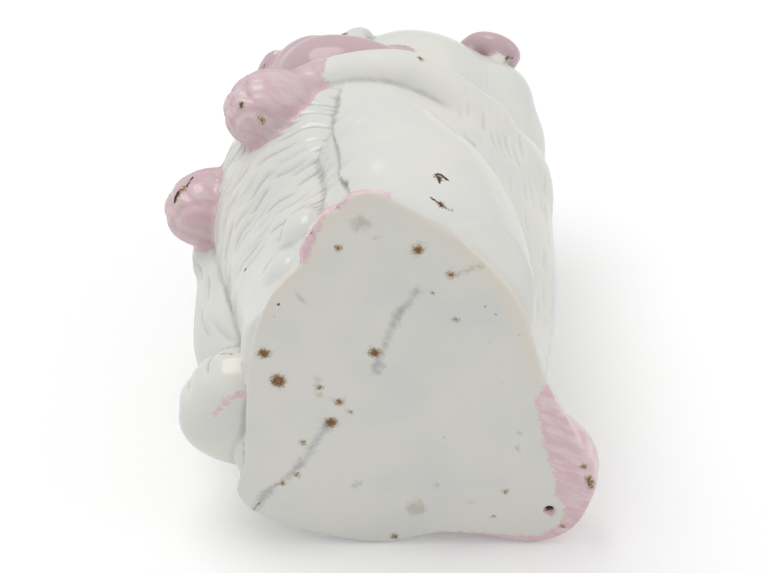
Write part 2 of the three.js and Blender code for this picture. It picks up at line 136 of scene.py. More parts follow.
# The flat base's outline, from the left hind foot round by the right haunch and the tail
BASE_OUTLINE = [
    (33.4, -26.5), (29.5, -31.2), (21.5, -33), (15.7, -31.4), (7.3, -32), (-1.5, -30), (-11.8, -25.8),
    (-24.5, -19.6), (-30.5, -17.8), (-33.2, -12.5), (-33, -5.1), (-31.1, 3), (-28.3, 9), (-23, 14.4),
    (-20, 21), (-17, 29.2), (-11.4, 32.9), (-2.8, 31.6), (2.1, 27.9), (7.7, 20.5), (13.4, 13), (20, 6.8),
    (24.4, 2), (27.9, -4), (31.4, -13.5),
]

# Thickness of the base plate; the pad swells on above it in steps of the same height
PLATE = 2.2
PAD_TAPERS = (0.985, 0.93, 0.85)


# Mesh helpers

def coords(piece):
    flat = np.empty(len(piece.data.vertices) * 3, dtype=np.float32)
    piece.data.vertices.foreach_get("co", flat)
    return flat.reshape(-1, 3).astype(np.float64)


def normals(piece):
    flat = np.empty(len(piece.data.vertices) * 3, dtype=np.float32)
    piece.data.vertex_normals.foreach_get("vector", flat)
    return flat.reshape(-1, 3).astype(np.float64)


def set_coords(piece, points):
    piece.data.vertices.foreach_set("co", points.astype(np.float32).ravel())
    piece.data.update()


def set_field(piece, name, values):
    attributes = piece.data.attributes
    layer = attributes.get(name) or attributes.new(name, "FLOAT", "POINT")
    layer.data.foreach_set("value", values.astype(np.float32))


def tree_of(points, picked=None):
    picked = range(len(points)) if picked is None else picked
    tree = KDTree(len(picked))
    for i in picked:
        tree.insert(points[i], i)
    tree.balance()
    return tree


def pick(*pieces):
    bpy.ops.object.select_all(action="DESELECT")
    for piece in pieces:
        piece.select_set(True)
    bpy.context.view_layer.objects.active = pieces[0]


def apply_modifier(piece, kind, **settings):
    pick(piece)
    modifier = piece.modifiers.new(kind.title(), kind)
    for key, value in settings.items():
        setattr(modifier, key, value)
    bpy.ops.object.modifier_apply(modifier=modifier.name)


def copy_of(piece, name):
    twin = piece.copy()
    twin.data = piece.data.copy()
    twin.name = name
    bpy.context.collection.objects.link(twin)
    return twin


# Smooth curve through points, read at shares from 0 to 1
def spline(points, share):
    points = np.asarray(points, dtype=float)
    spans = len(points) - 1
    place = np.clip(share, 0, 1) * spans
    k = np.minimum(place.astype(int), spans - 1)
    t = (place - k)[:, None]
    before = points[np.maximum(k - 1, 0)]
    start, end = points[k], points[k + 1]
    after = points[np.minimum(k + 2, spans)]
    return 0.5 * (
        2 * start
        + (end - before) * t
        + (2 * before - 5 * start + 4 * end - after) * t**2
        + (3 * start - before - 3 * end + after) * t**3
    )


def closed_spline(points, steps):
    points = np.asarray(points, dtype=float)
    ring = np.concatenate([points[-1:], points, points[:2]])
    spans = len(ring) - 1
    share = (1 + np.arange(len(points) * steps) / steps) / spans
    return spline(ring, share)


# Distance in the plane from a closed outline, positive inside it
def inside_by(points, outline):
    nearest = np.full(len(points), 1e9)
    crossings = np.zeros(len(points), dtype=int)
    for start, end in zip(outline, np.roll(outline, -1, axis=0)):
        edge = end - start
        away = points - start
        share = np.clip(away @ edge / max(edge @ edge, 1e-12), 0, 1)
        gap = away - share[:, None] * edge
        nearest = np.minimum(nearest, (gap**2).sum(1))
        spans = (start[1] > points[:, 1]) != (end[1] > points[:, 1])
        rise = edge[1] if abs(edge[1]) > 1e-9 else 1e-9
        crossings += spans & (points[:, 0] < start[0] + edge[0] * away[:, 1] / rise)
    return np.sqrt(nearest) * np.where(crossings % 2 == 1, 1, -1)


def smoothstep(low, high, value):
    share = np.clip((value - low) / (high - low), 0, 1)
    return share * share * (3 - 2 * share)


# Clay forms; grow widens a form all round, for a blade

def lump(at, size, power=2.0, tilt=0, roll=0, around=72, grow=0.0):
    bpy.ops.mesh.primitive_uv_sphere_add(segments=around, ring_count=around // 2, radius=1)
    form = bpy.context.object
    points = coords(form)
    points /= (np.abs(points) ** power).sum(1, keepdims=True) ** (1 / power)
    points *= np.array(size) / 2 + grow
    turn = Matrix.Rotation(math.radians(tilt), 3, "X") @ Matrix.Rotation(math.radians(roll), 3, "Y")
    set_coords(form, points @ np.array(turn).T + np.array(at))
    return form


# Part of a limb's rings that go to each of its end domes
DOME_SHARE = 0.14


# A limb drawn over stations (centre, width, depth, turn), with a dome at each end
def limb(stations, domes, across=(1, 0, 0), power=2.0, around=72, rings=72, grow=0.0):
    bpy.ops.mesh.primitive_uv_sphere_add(segments=around, ring_count=rings, radius=1)
    form = bpy.context.object
    points = coords(form)
    level = np.arccos(np.clip(-points[:, 2], -1, 1)) / math.pi
    share = (level - DOME_SHARE) / (1 - 2 * DOME_SHARE)
    beyond = np.clip(np.abs(level - 0.5) - (0.5 - DOME_SHARE), 0, DOME_SHARE) / DOME_SHARE
    beyond *= math.pi / 2
    path = [s[0] for s in stations]
    centre = spline(path, share)
    step = 1e-3
    within = np.clip(share, step, 1)
    along = spline(path, within) - spline(path, within - step)
    along /= np.linalg.norm(along, axis=1, keepdims=True)
    sizes = [(s[1] / 2 + grow, s[2] / 2 + grow, s[3] if len(s) > 3 else 0) for s in stations]
    size = spline(sizes, share)
    across = np.array(across, dtype=float)
    wide = across - along * (along @ across)[:, None]
    wide /= np.linalg.norm(wide, axis=1, keepdims=True)
    turn = np.radians(size[:, 2])[:, None]
    wide = wide * np.cos(turn) + np.cross(along, wide) * np.sin(turn)
    deep = np.cross(along, wide)
    reach = np.where(level < 0.5, -(domes[0] + grow), domes[1] + grow) * np.sin(beyond)
    angle = np.arctan2(points[:, 1], points[:, 0])
    swell = (np.abs(np.cos(angle)) ** power + np.abs(np.sin(angle)) ** power) ** (-1 / power)
    swell *= np.cos(beyond)
    points = (
        centre
        + along * reach[:, None]
        + wide * (size[:, 0] * swell * np.cos(angle))[:, None]
        + deep * (size[:, 1] * swell * np.sin(angle))[:, None]
    )
    set_coords(form, points)
    return form


def flatten_base(form, level=0.0):
    pick(form)
    bpy.ops.object.mode_set(mode="EDIT")
    bpy.ops.mesh.select_all(action="SELECT")
    bpy.ops.mesh.bisect(
        plane_co=(0, 0, level), plane_no=(0, 0, 1), use_fill=True, clear_inner=True, clear_outer=False
    )
    bpy.ops.object.mode_set(mode="OBJECT")
    return form


def fuse(name, forms, grain):
    pick(*forms)
    bpy.ops.object.join()
    piece = bpy.context.object
    piece.name = name
    apply_modifier(piece, "REMESH", mode="VOXEL", voxel_size=grain)
    return piece


def body_form():
    def level(z, x, size, back, turn):
        return ((x, back - size[1] / 2, z), size[0], size[1], turn)

    return limb(
        [
            level(-4, HIP_SHIFT, HIP, BACK_Y - RUMP_TUCK, HIP_TURN),
            level(BELLY_Z / 3, HIP_SHIFT, HIP, BACK_Y - RUMP_TUCK, HIP_TURN),
            level(BELLY_Z, 0, BELLY, BACK_Y, HIP_TURN / 2),
            level(CHEST_Z, 0, CHEST, BACK_Y, 0),
            level(NECK_Z, 0, NECK, BACK_Y - NAPE_LEAN, 0),
        ],
        domes=(2, 6),
        power=BODY_POWER,
        around=128,
        rings=96,
    )


base_line = closed_spline(BASE_OUTLINE, 8)


# The pad that everything stands on: flat below, drawn in above
def pad_form():
    bpy.ops.mesh.primitive_circle_add(vertices=len(base_line), radius=1, fill_type="NGON")
    form = bpy.context.object
    set_coords(form, np.column_stack([base_line, np.zeros(len(base_line))]))
    bpy.ops.object.mode_set(mode="EDIT")
    bpy.ops.mesh.select_all(action="SELECT")
    for taper in PAD_TAPERS:
        bpy.ops.mesh.extrude_region_move(TRANSFORM_OT_translate={"value": (0, 0, PLATE)})
        bpy.ops.transform.resize(value=(taper, taper, 1), center_override=(0, 0, 0))
    bpy.ops.mesh.select_all(action="SELECT")
    bpy.ops.mesh.normals_make_consistent(inside=False)
    bpy.ops.object.mode_set(mode="OBJECT")
    return form


def haunch_forms(side, grow=0.0):
    height = HAUNCH_HEIGHT[side]
    length = HAUNCH_LENGTH[side]
    knee_y = KNEE_FRONT_Y[side] + KNEE_LENGTH / 2

    def level(z, share, wide, deep):
        y = HAUNCH_Y[side] + (knee_y - HAUNCH_Y[side]) * share
        x = HAUNCH_X[side] + (KNEE_X[side] - HAUNCH_X[side]) * share
        return ((side * x, y, z), wide, deep, side * HAUNCH_SPLAY)

    return [
        limb(
            [
                level(-3, SOLE_SHARE[side], HAUNCH_WIDTH * 0.96, length * 0.96),
                level(height * 0.28, LOIN_SHARE[side], HAUNCH_WIDTH, length),
                level(height * 0.58, THIGH_SHARE[side], HAUNCH_WIDTH * 0.96, length * 0.96),
                level(height * 0.8, 1, KNEE_WIDTH, KNEE_LENGTH),
            ],
            domes=(2, height * 0.2),
            around=96,
            grow=grow,
        )
    ]


def foot_forms(side, grow=0.0):
    size = FOOT_SIZE[side]
    centre = (side * FOOT_X[side], FOOT_FRONT_Y[side] + size[1] / 2, FOOT_RISE[side])
    forms = [lump(centre, size, power=FOOT_POWER, grow=grow)]
    if side < 0:
        forms.append(limb(HUGGED_TOE, domes=(1, 1), across=(0, 0, 1), around=32, rings=32, grow=grow))
    return forms


def inner_toe_forms(grow=0.0):
    return [lump(at, size, grow=grow) for at, size in INNER_TOES]


def foreleg_forms(side, grow=0.0):
    mirror = np.array([side, 1, 1])
    stations = [
        (np.array(SHOULDER) * mirror, SHOULDER_WIDTH, SHOULDER_WIDTH),
        (np.array(ELBOW) * mirror, ELBOW_WIDTH, ELBOW_WIDTH),
        (np.array(WRIST) * mirror, WRIST_WIDTH, WRIST_WIDTH),
        (np.array(PAW[side]), WRIST_WIDTH, WRIST_WIDTH),
    ]
    return [
        limb(stations, domes=(SHOULDER_WIDTH / 2, WRIST_WIDTH / 2), around=64, grow=grow),
        lump(PAW[side], PAW_SIZE, tilt=PAW_DROOP, grow=grow),
    ]


# A loose curl that thins and rises to its tip, over a low cushion
def tail_forms(grow=0.0):
    stations = []
    for share in np.arange(TAIL_STATIONS) / (TAIL_STATIONS - 1):
        turn = math.pi * (TAIL_START + TAIL_SWEEP * share)
        reach = (TAIL_CURL - TAIL_THICKNESS) / 2 * (1 - 0.25 * share**2)
        thick = TAIL_THICKNESS + (TAIL_TIP - TAIL_THICKNESS) * share**2
        centre = (
            TAIL_X + reach * math.cos(turn),
            TAIL_Y + reach * math.sin(turn),
            TAIL_THICKNESS * 0.3 + TAIL_RISE * share**3,
        )
        stations.append((centre, thick, thick))
    cushion = (TAIL_CURL * 0.94, TAIL_CURL * 0.9, TAIL_THICKNESS * 1.3)
    return [
        limb(stations, domes=(3, 3), across=(0, 0, 1), around=48, rings=96, grow=grow),
        lump((TAIL_X, TAIL_Y, 0), cushion, grow=grow),
    ]


def head_forms(grow=0.0):
    # Skull, scruff, occiput, muzzle, chin, nose and the fold over the nose
    forms = [
        lump(SKULL_AT, SKULL_SIZE, power=2.1, around=96, grow=grow),
        lump((0, BACK_Y - SCRUFF_SIZE[1] / 2, SCRUFF_Z), SCRUFF_SIZE, power=2.3, grow=grow),
        lump(OCCIPUT_AT, OCCIPUT_SIZE, power=2.4, grow=grow),
        lump((0, MUZZLE_FRONT_Y + MUZZLE_SIZE[1] / 2, MUZZLE_Z), MUZZLE_SIZE, power=2.5, grow=grow),
        lump((0, MUZZLE_FRONT_Y + 6, MUZZLE_Z - 8.5), (11, 10, 6), grow=grow),
        lump((0, MUZZLE_FRONT_Y + 1.5, NOSE_Z), (7.2, 4.6, 4.6), power=2.3, around=48, grow=grow),
        limb(
            [
                ((-6.4, -22.6, 67.6), 4, 4),
                ((-4, -22.8, 72.2), 4.6, 4.4),
                ((0, -23.2, 74), 5, 4.6),
                ((4, -22.8, 72.2), 4.6, 4.4),
                ((6.4, -22.6, 67.6), 4, 4),
            ],
            domes=(1.5, 1.5),
            across=(0, 1, 0),
            grow=grow,
        ),
    ]
    # Flews, brows and eyes
    for side in SIDES.values():
        forms.append(
            limb(
                [
                    ((side * 4.5, -25.2, 62.6), 12, 12.5),
                    ((side * 8.4, -24, 62.6), 12, 12),
                    ((side * 12.6, -19.6, 62.4), 9, 9.5),
                    ((side * 16, -13, 62), 5, 6),
                ],
                domes=(4, 3),
                grow=grow,
            )
        )
        forms.append(lump((side * 7.6, -18.2, 74.7), (10, 6, 3.4), roll=side * 14, grow=grow))
        forms.append(lump((side * EYE_X, EYE_Y, EYE_Z), [EYE_SIZE] * 3, grow=grow))
    return forms


def ear_forms(side, grow=0.0):
    return [
        limb(
            [
                ((side * 7.5, 5, 80.2), 10, 5),
                ((side * 12.5, 5, 80.6), 11, 5),
                ((side * 16.2, 4.8, 79.3), 10, 4.6),
                ((side * 18.4, 4.5, 77), 6.5, 3.6),
            ],
            domes=(2, 1),
            across=(0, 1, 0),
            around=48,
            grow=grow,
        )
    ]


def all_forms():
    forms = [
        flatten_base(body_form()),
        pad_form(),
        lump(SHOULDERS_AT, SHOULDERS_SIZE, power=2.2, around=96),
        *inner_toe_forms(),
    ]
    for side in SIDES.values():
        forms += [flatten_base(f) for f in haunch_forms(side)]
        forms += foreleg_forms(side)
        forms += ear_forms(side)
        feet = foot_forms(side)
        forms += [flatten_base(f) for f in feet] if side > 0 else feet
    forms += [flatten_base(f) for f in tail_forms()]
    forms += head_forms()
    return forms


figure = fuse("figure", all_forms(), SKIN_GRAIN)
apply_modifier(figure, "SMOOTH", factor=0.5, iterations=4)


# Modelling on the fused skin

def skin_edges(piece):
    flat = np.empty(len(piece.data.edges) * 2, dtype=np.int32)
    piece.data.edges.foreach_get("vertices", flat)
    return flat.reshape(-1, 2)


RELAX_STEP = 0.6


# Moves each point towards the middle of its neighbours, where it has weight
def relax(points, edges, weight, rounds):
    active = np.nonzero(weight > 0.01)[0]
    acting = np.zeros(len(points), dtype=bool)
    acting[active] = True
    edges = edges[acting[edges].any(1)]
    used, local = np.unique(edges, return_inverse=True)
    local = local.reshape(edges.shape)
    degree = np.bincount(local.ravel(), minlength=len(used))
    share = weight[used] * acting[used] * RELAX_STEP
    part = points[used]
    for _ in range(rounds):
        for axis in range(3):
            column = part[:, axis]
            total = np.bincount(local[:, 0], column[local[:, 1]], len(used))
            total += np.bincount(local[:, 1], column[local[:, 0]], len(used))
            column += share * (total / degree - column)
    points[used] = part
    return points


# 1 near a place, fading to 0 at its reach
def near(points, centre, reach):
    gap = (points - np.array(centre)) / np.array(reach)
    return 1 - smoothstep(0.6, 1, np.sqrt((gap**2).sum(1)))


edges = skin_edges(figure)
skin = coords(figure)


# Depth of points in the base's outline, and the way in which it grows
def base_depth(points):
    step = 0.05
    depth = inside_by(points, base_line)
    slope = [(inside_by(points + move, base_line) - depth) / step for move in np.eye(2) * step]
    return depth, np.column_stack(slope)


# The sides come down onto the base's outline, flaring a little; the lifted foot is left out
BASE_FLARE = 0.5
TAIL_FLARE = 0.3
TAIL_FRONT_Y = 12
FLARE_TOP = (8, 12)
lifted_foot = (skin[:, 0] < -6) & (skin[:, 1] < -16) & (skin[:, 2] > 1)
low = np.nonzero((skin[:, 2] < FLARE_TOP[1]) & ~lifted_foot)[0]
depth_in, slope = base_depth(skin[low, :2])
flare = BASE_FLARE * np.where(skin[low, 1] > TAIL_FRONT_Y, TAIL_FLARE, 1) * skin[low, 2]
over = np.maximum(-depth_in - flare, 0) * (1 - smoothstep(*FLARE_TOP, skin[low, 2]))
skin[low, :2] += slope * over[:, None]

# The base's edge is rounded, its face waves a little and the vent is pricked into it
RIM_RADIUS = 0.9
WAVE_HEIGHT = 0.05
VENT_DEPTH = 1.8
low = np.nonzero(skin[:, 2] < 3)[0]
depth_in, slope = base_depth(skin[low, :2])
from_rim = np.column_stack([depth_in, skin[low, 2]]) - RIM_RADIUS
reach = np.linalg.norm(from_rim, axis=1)
outer = (from_rim < 0).all(1) & (reach > RIM_RADIUS)
from_rim[outer] *= (RIM_RADIUS / reach[outer])[:, None]
shift_in = from_rim[:, 0] + RIM_RADIUS - depth_in
skin[low, :2] += slope * shift_in[:, None]
skin[low, 2] = from_rim[:, 1] + RIM_RADIUS
under = 1 - smoothstep(0.2, 1.5, skin[low, 2])
wave = np.sin(skin[low, 0] * 0.55 + 1.3 * np.sin(skin[low, 1] * 0.31)) * np.sin(skin[low, 1] * 0.5 + 0.8)
skin[low, 2] += under * WAVE_HEIGHT * (1 + wave)
from_vent = np.linalg.norm(skin[low, :2] - np.array(VENT), axis=1)
skin[low, 2] += under * VENT_DEPTH * (1 - smoothstep(0.3, 0.62, from_vent / VENT_DIAMETER))

# Slip smoothed over where the limbs are luted on, as centre, reach and strength
SLIP_ZONES = [
    ((0, 10, 56), (24, 16, 12), 1), ((0, 20, 36), (22, 9, 16), 1),
    ((30, -20, 6), (10, 12, 10), 1), ((18, -2, 66), (12, 20, 14), 1),
]
for side in SIDES.values():
    SLIP_ZONES += [
        ((side * SHOULDER[0], *SHOULDER[1:]), (9, 11, 9), 1),
        ((side * 20, 6, 16), (9, 12, 18), 0.5),
        ((side * 20, 5, 38), (13, 18, 18), 1),
    ]
slip = np.maximum.reduce([strength * near(skin, centre, reach) for centre, reach, strength in SLIP_ZONES])

# Rounds of smoothing per millimetre of reach grow with the square of the skin's fineness
fineness = SKIN_GRAIN**-2
skin = relax(skin, edges, slip, int(18 * fineness))
skin = relax(skin, edges, np.full(len(skin), 0.6), int(0.5 * fineness))
set_coords(figure, skin)


# Puffed toes, as arcs between sharp furrows across the front of a foot or paw; front_y and
# back_y say where they are full and where they end, as shares of its half length
def toes(piece, centre, size, count, front_y, back_y, depth, tilt=0, power=2.0):
    points, out = coords(piece), normals(piece)
    turn = np.array(Matrix.Rotation(math.radians(-tilt), 3, "X"))
    local = (points - np.array(centre)) @ turn.T / (np.array(size) / 2)
    radius = (np.abs(local) ** power).sum(1) ** (1 / power)
    on_form = 1 - smoothstep(0.04, 0.12, np.abs(radius - 1))
    lane = local[:, 0] * 0.5 * count + count / 2
    place = np.clip(lane - np.floor(lane), 0, 1) * 2 - 1
    arc = 1 - np.sqrt(np.maximum(1 - (place * 0.97) ** 2, 0))
    fade = smoothstep(back_y, front_y, local[:, 1]) * smoothstep(-0.55, 0.1, local[:, 2])
    points += out * (-depth * arc * fade * on_form)[:, None]
    set_coords(piece, points)


for side in SIDES.values():
    toes(figure, PAW[side], PAW_SIZE, TOE_COUNT, front_y=-0.75, back_y=-0.2, depth=0.9, tilt=PAW_DROOP)
    size = FOOT_SIZE[side]
    centre = (side * FOOT_X[side], FOOT_FRONT_Y[side] + size[1] / 2, FOOT_RISE[side])
    toes(figure, centre, size, TOE_COUNT, front_y=-0.8, back_y=-0.2, depth=1.1, power=FOOT_POWER)


# A smooth line through points, as steps of about the gap
def dense_line(points, gap=0.2):
    points = np.asarray(points, dtype=float)
    length = np.linalg.norm(np.diff(points, axis=0), axis=1).sum()
    return spline(points, np.linspace(0, 1, max(2, int(length / gap))))


# How far the skin lies from a line of points, in millimetres, up to a limit
def line_gap(points, line, limit=4.0):
    line = dense_line(line) if len(line) > 1 else np.asarray(line, dtype=float)
    low, high = line.min(0) - limit, line.max(0) + limit
    close = np.nonzero(((points > low) & (points < high)).all(1))[0]
    gaps = np.full(len(points), limit)
    tree = tree_of(line)
    gaps[close] = [min(tree.find(points[i])[2], limit) for i in close]
    return gaps


# A line of points moved onto the skin
def laid(piece, line):
    points = coords(piece)
    line = dense_line(line, 0.4)
    close = np.nonzero(((points > line.min(0) - 6) & (points < line.max(0) + 6)).all(1))[0]
    tree = tree_of(points, close)
    return np.array([tree.find(place)[0] for place in line])


# A line or a single dent pressed into the skin
def furrow(piece, line, width, depth):
    points, out = coords(piece), normals(piece)
    gaps = line_gap(points, laid(piece, line) if len(line) > 1 else line)
    set_coords(piece, points - out * (depth * np.exp(-((gaps / width) ** 2)))[:, None])


# One side of the line lies lower than the other and comes up to it over a width
def ledge(piece, line, width, depth):
    points, out = coords(piece), normals(piece)
    line = laid(piece, line)
    gaps = line_gap(points, line, width)
    edge_x = np.interp(points[:, 2], line[::-1, 2], line[::-1, 0])
    lower = gaps < width
    lower &= points[:, 0] < edge_x
    drop = depth * (1 - smoothstep(0, width, gaps)) * lower
    set_coords(piece, points - out * drop[:, None])


HAUNCH_EDGE = [
    (19.2, -26.7, 40.2), (19.3, -27.8, 34.8), (22.2, -29.5, 26), (22.2, -28.8, 22), (22.7, -28.2, 16.4),
    (24.3, -27.8, 11.7),
]
FLANK_DIMPLE = (23, -4.6, 38.2)
PHILTRUM = [(0, -33, 67.4), (0, -32, 64), (0, -31, 60.6)]
MOUTH = [(0, -31, 60.6), (3.5, -31, 58), (8, -29, 56.8), (12.5, -24, 57), (15, -18, 58)]
ledge(figure, HAUNCH_EDGE, width=5.5, depth=0.9)
furrow(figure, HAUNCH_EDGE, width=0.45, depth=0.45)
furrow(figure, [FLANK_DIMPLE], width=1.5, depth=0.5)
furrow(figure, PHILTRUM, width=0.5, depth=0.7)


# Combed coat: rows of incised dashes; across and along are in millimetres over the skin
def comb(points, out, mask, along, across, pitch, length, depth, fill, seed):
    random = np.random.default_rng(seed)
    row = np.floor(across / pitch).astype(int)
    rows = row - row.min()
    count = rows.max() + 1
    shift = random.random(count)[rows]
    stretch = (length * (0.7 + 0.6 * random.random(count)))[rows]
    place = along / stretch + shift
    dash = np.floor(place).astype(int)
    dashes = dash - dash.min()
    deep = random.random((count, dashes.max() + 1))[rows, dashes]
    within = place - dash
    off = np.abs(across / pitch - row - 0.5) * 2
    profile = np.clip(1 - off**2, 0, 1) ** 1.5
    ends = smoothstep(0.02, 0.3, within) * (1 - smoothstep(0.6, 0.98, within))
    present = smoothstep(1 - fill - 0.1, 1 - fill + 0.15, deep)
    points -= out * (mask * depth * profile * ends * present * (0.5 + 0.5 * deep))[:, None]
    return points


BELLY_COMB = {"pitch": 1.1, "length": 12, "depth": 0.34, "fill": 0.85, "seed": 11}
THIGH_COMB = {"pitch": 1.5, "length": 12, "depth": 0.36, "fill": 0.75, "seed": 12}
BACK_COMB = {"pitch": 1.7, "length": 8, "depth": 0.2, "fill": 0.7, "seed": 13}
BODY_RADIUS = 25

skin, out = coords(figure), normals(figure)
x, y, z = skin.T
around = np.arctan2(x, -(y - BODY_AXIS_Y))
arc = around * BODY_RADIUS

# Belly, swept round from the left haunch; angles are in radians from straight ahead
belly = smoothstep(-0.62, -0.42, around) * (1 - smoothstep(0.68, 0.8, around))
belly *= smoothstep(12, 18, z) * (1 - smoothstep(50, 54, z))
drop = 0.007 * (arc - 9) ** 2
skin = comb(skin, out, belly, arc + 0.5 * z, z + drop + 0.35 * np.sin(arc * 0.7), **BELLY_COMB)

# Right thigh and the front of the chest
thigh = near(skin, (-20, -28, 28), (11, 12, 24))
skin = comb(skin, out, thigh, z, arc * 0.8 + x * 0.3 + 0.4 * np.sin(z * 0.35), **THIGH_COMB)

# Back and flanks, in short locks
behind = smoothstep(1.45, 1.7, np.abs(around)) * smoothstep(8, 14, z) * (1 - 0.6 * smoothstep(46, 54, z))
behind *= 1 - smoothstep(66, 74, z)
wave = 0.5 * np.sin(z * 0.3 + around * 3)
skin = comb(skin, out, behind, z + 0.3 * arc, arc + wave + 0.12 * z, **BACK_COMB)
set_coords(figure, skin)


# Paint and marks, kept on the skin as distances in millimetres: positive inside a mark

# Edges of the pink enamel on the base
TAIL_ENAMEL = [
    (12.9, 12.8), (9.6, 13.1), (4.6, 17), (1.3, 19.8), (-1.8, 23.1), (-3.5, 24.5), (-5.9, 25.5),
    (-7.2, 28.1), (-9.3, 29.9), (-12.5, 30), (-15.2, 28.9), (-18.1, 23.2), (-19.3, 20.2), (-22, 14.3),
    (-30, 20), (-24, 40), (4, 40), (20, 22),
]
FOOT_ENAMEL = [
    (33.4, -28.1), (30.8, -30.2), (28.9, -30.6), (27, -32), (24.4, -31.8), (20.5, -31), (17.2, -30),
    (15.7, -31.2), (14, -37), (30, -40), (38, -34),
]

# Iron specks and stains, as x, y and radius on the base
RUST_SPOTS = [
    (-2.2, -27.6, 0.9), (-6.1, -23.2, 1.15), (6, -13.1, 0.85), (-9.8, -12, 0.95), (26.7, -17.2, 0.8),
    (24.9, -10.6, 0.5), (-5.4, -13, 0.6), (21.3, -27.6, 0.5), (-15.6, -13.8, 0.42), (-22.2, -11.4, 0.42),
    (-24.8, -12.5, 0.42), (17.7, -5.6, 0.36), (-9.5, 19, 0.4), (-26.7, 8.6, 0.55), (-4.2, -17, 0.42),
    (-6.6, -22.4, 0.5), (-6.4, -10.5, 0.3), (20.6, -11.2, 0.24), (-15.2, 20.2, 0.3), (-11.6, 30.9, 0.4),
]
OLIVE_SPOTS = [
    (26.9, -27, 1.9), (-6.3, -10.4, 0.9), (-19.4, 8.5, 2.1), (25.6, -23.4, 0.8), (-0.6, 16, 0.9),
    (2.5, 14.6, 0.6), (-14, 15.5, 0.9), (-13.6, 9, 1), (26.8, -17.4, 1.7), (25, -10.6, 1.4),
    (-2.2, -27.5, 1.5), (-6.1, -23.1, 1.8), (6.2, -13.2, 1.5), (-9.7, -12, 1.5), (-5.4, -13, 1.4),
    (21.3, -27.6, 1.1), (-15.6, -13.8, 1), (-22.2, -11.4, 1.1), (-24.8, -12.5, 1), (17.7, -5.6, 0.8),
    (-9.5, 19, 0.9), (-26.7, 8.6, 1),
]

# Smears, cracks and single marks, as a line of points and its half width
OLIVE_LINES = [
    ([(25.6, -9.8, 0), (27, -8.8, 0), (28.6, -7.4, 0)], 0.9),
    ([(-3, -18, 0), (-4.4, -17.2, 0), (-5.8, -16, 0)], 0.9),
]
SMOKE_LINES = [
    ([(-10, -12, 0), (-13, -12.2, 0), (-15.9, -12.2, 0)], 0.5),
    ([(-32.8, -13.8, 0), (-27.1, -13.6, 0), (-23.6, -12.6, 0), (-19.1, -11.8, 0), (-15.9, -12.4, 0)], 0.35),
    ([(19.8, -13.3, 0), (14.5, -13.7, 0), (10.3, -12.9, 0), (4.6, -11.8, 0), (3, -11.5, 0)], 0.3),
    ([(4.2, -11.7, 0), (2.8, -11.4, 0)], 0.7), ([(-19.9, -2.3, 0), (-19.2, -1.9, 0)], 0.4),
]
RUST_LINES = [
    ([(33, -17, 10.4)], 0.7), ([(32.6, -16.6, 4.5)], 0.6),
    ([(-8.2, -39.8, 41.2), (-10.3, -40.8, 38.8)], 0.5), ([(12.6, -37.4, 36.3), (11.9, -36.4, 36.3)], 0.4),
    ([(12.2, -40.4, 37.8)], 0.5), ([(1.1, 27, 0.1)], 0.45), ([(-0.7, 29, 0.1), (-2, 30.3, 0.2)], 0.5),
    ([(17.1, 6.6, 76.2)], 0.7), ([(24.7, -15, 52.1)], 0.5),
]
# Black marks; the last one is painted shade inside the vent
BLACK_LINES_AND_VENT_SHADE = [
    ([(33, -17.9, 10.4), (33, -17, 11.2), (33.1, -15.7, 10.4)], 0.26),
    ([(33, -17.2, 11), (32.9, -17, 9.3)], 0.24),
    ([(32.5, -18.2, 5.4), (32.5, -17.2, 4.8), (32.7, -15.9, 4.1), (32.7, -14.6, 4.2)], 0.2),
    ([(-7.6, -39.5, 42), (-8.7, -40.1, 40.4)], 0.3), ([(-9.6, -40.6, 39.8), (-10.9, -41, 38)], 0.36),
    ([(12.2, -40.4, 37.8)], 0.32), ([(-1.5, -31.8, 16.5)], 0.38),
    ([(-13.7, -29.8, 10.2), (-11.9, -28.4, 9.1)], 0.14), ([(17, 6, 75.9)], 0.4), ([(17.3, 7.6, 76.7)], 0.3),
    ([(16.6, 4.4, 75.4)], 0.25), ([(24.7, -15, 52.3)], 0.3),
    ([(-32.9, -13.9, 0.1), (-30.4, -13.8, 0)], 0.16), ([(22.1, -3, 0)], 0.22), ([(21.4, -0.9, 0)], 0.25),
    ([(19.7, 4.2, 0)], 0.24), ([(16.4, 1, 0)], 0.18), ([(7.4, -30.2, 0)], 0.3), ([(-4.1, 4.8, 0)], 0.22),
    ([(10.1, 6.9, 0)], 0.18), ([(5, -29.6, 0)], 0.2), ([(-26.7, 8.6, 0)], 0.35),
    # The vent's inside is painted black as painted shade
    ([(*VENT, 0.8)], VENT_DIAMETER * 0.45),
]

# Limits of the enamel on tail, feet, forepaws, muzzle, nose and ears
TAIL_PINK_Z = 16
TAIL_PINK_Y = 12
TAIL_PINK_HALF = 12
FOOT_PINK = {"z": 2.6, "x": 15, "y": -25}
FOOT_STROKE = [(-18.6, -27.5, 2.4), (-15.9, -27.2, 2.8), (-14.1, -25.8, 3.1), (-12.8, -25, 1)]
FOOT_STROKE_HALF = 0.6
PAW_EDGE_Y = -29.4
WRIST_PINK_REACH = 4.4
MUZZLE_PATH = [(-15, -14.5, 62.5), (-8.4, -23, 62.6), (0, -25.5, 63), (8.4, -23, 62.6), (15, -14.5, 62.5)]
MUZZLE_REACH = 8.7
MUZZLE_CHEEK = (62, -11)
CHIN_PINK_Z = 53.5
LIP_PINK_Z = 56
LEG_CLEAR = 5.4
NOSE_AT = (0, MUZZLE_FRONT_Y + 0.5, NOSE_Z)
NOSE_PINK = 3.4
NOSTRIL = (1.5, MUZZLE_FRONT_Y - 0.3, NOSE_Z + 1)
NOSTRIL_RADIUS = 0.75
EAR_PINK_Z = 75.6
GLANCE = (0.15, -0.94, 0.3)
IRIS_RADIUS = 2.3
IRIS_RIM = 0.4
LIP_HALF = 0.16
# Reach of the painted shade at the vent's mouth
VENT_SHADE = 0.66

# Values that stand for no mark near, and for a place out of reach
UNMARKED = -3.0
BEYOND = 9.0


